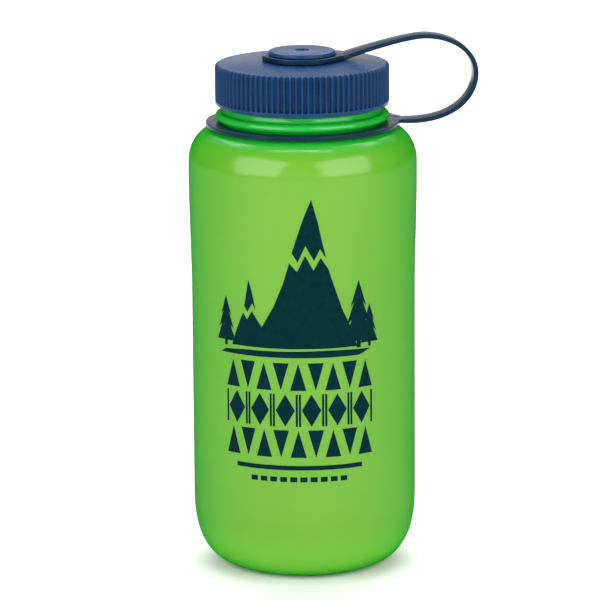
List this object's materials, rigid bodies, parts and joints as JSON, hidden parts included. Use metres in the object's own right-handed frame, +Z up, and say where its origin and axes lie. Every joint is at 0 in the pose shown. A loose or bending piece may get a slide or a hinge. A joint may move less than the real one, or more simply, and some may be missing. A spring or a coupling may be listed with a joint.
{
  "type": "canteen",
  "caption": "Wide-mouth screw-cap drinking bottle with a ribbed cap that turns up its thread, kept on by a looped strap between a stud on the cap and a ring on the neck.",
  "frame": {"origin": "on the bottle's axis, in the plane that it stands on", "axes": "+Z up along the bottle's axis, -Y towards the printed front, +X towards the side that the strap's loop stands out on"},
  "size_m": [0.1151, 0.0904, 0.2124],
  "materials": {
    "bottle_green": "semi-gloss, slightly translucent",
    "cap_navy": "satin",
    "strap_navy": "satin"
  },
  "bodies": {
    "bottle": {"bottle": "bottle_green"},
    "stud": {"cap_button": "cap_navy"},
    "cap": {"cap": "cap_navy"},
    "strap": {"strap_eyelet": "strap_navy", "strap_band": "strap_navy"},
    "neck_ring": {"neck_ring": "strap_navy"}
  },
  "joints": [
    {"name": "cap_rise", "type": "slide", "parent": "bottle", "child": "stud", "axis": [0, 0, 1], "range_m": [0, 0.0063]},
    {"name": "cap_turn", "type": "hinge", "parent": "stud", "child": "cap", "pos_m": [0, 0, 0.1945], "axis": [0, 0, 1], "range_deg": [0, 540]},
    {"name": "strap_swivel", "type": "hinge", "parent": "stud", "child": "strap", "pos_m": [0, 0, 0.204], "axis": [0, 0, 1], "continuous": true},
    {"name": "ring_stay", "type": "slide", "parent": "strap", "child": "neck_ring", "axis": [0, 0, -1], "range_m": [0, 0.0063], "deforming": ["strap_band"]}
  ],
  "couplings": [
    {"joint": "cap_rise", "follows": "cap_turn", "m_per_rad": 0.00066845},
    {"joint": "ring_stay", "follows": "cap_turn", "m_per_rad": 0.00066845}
  ]
}
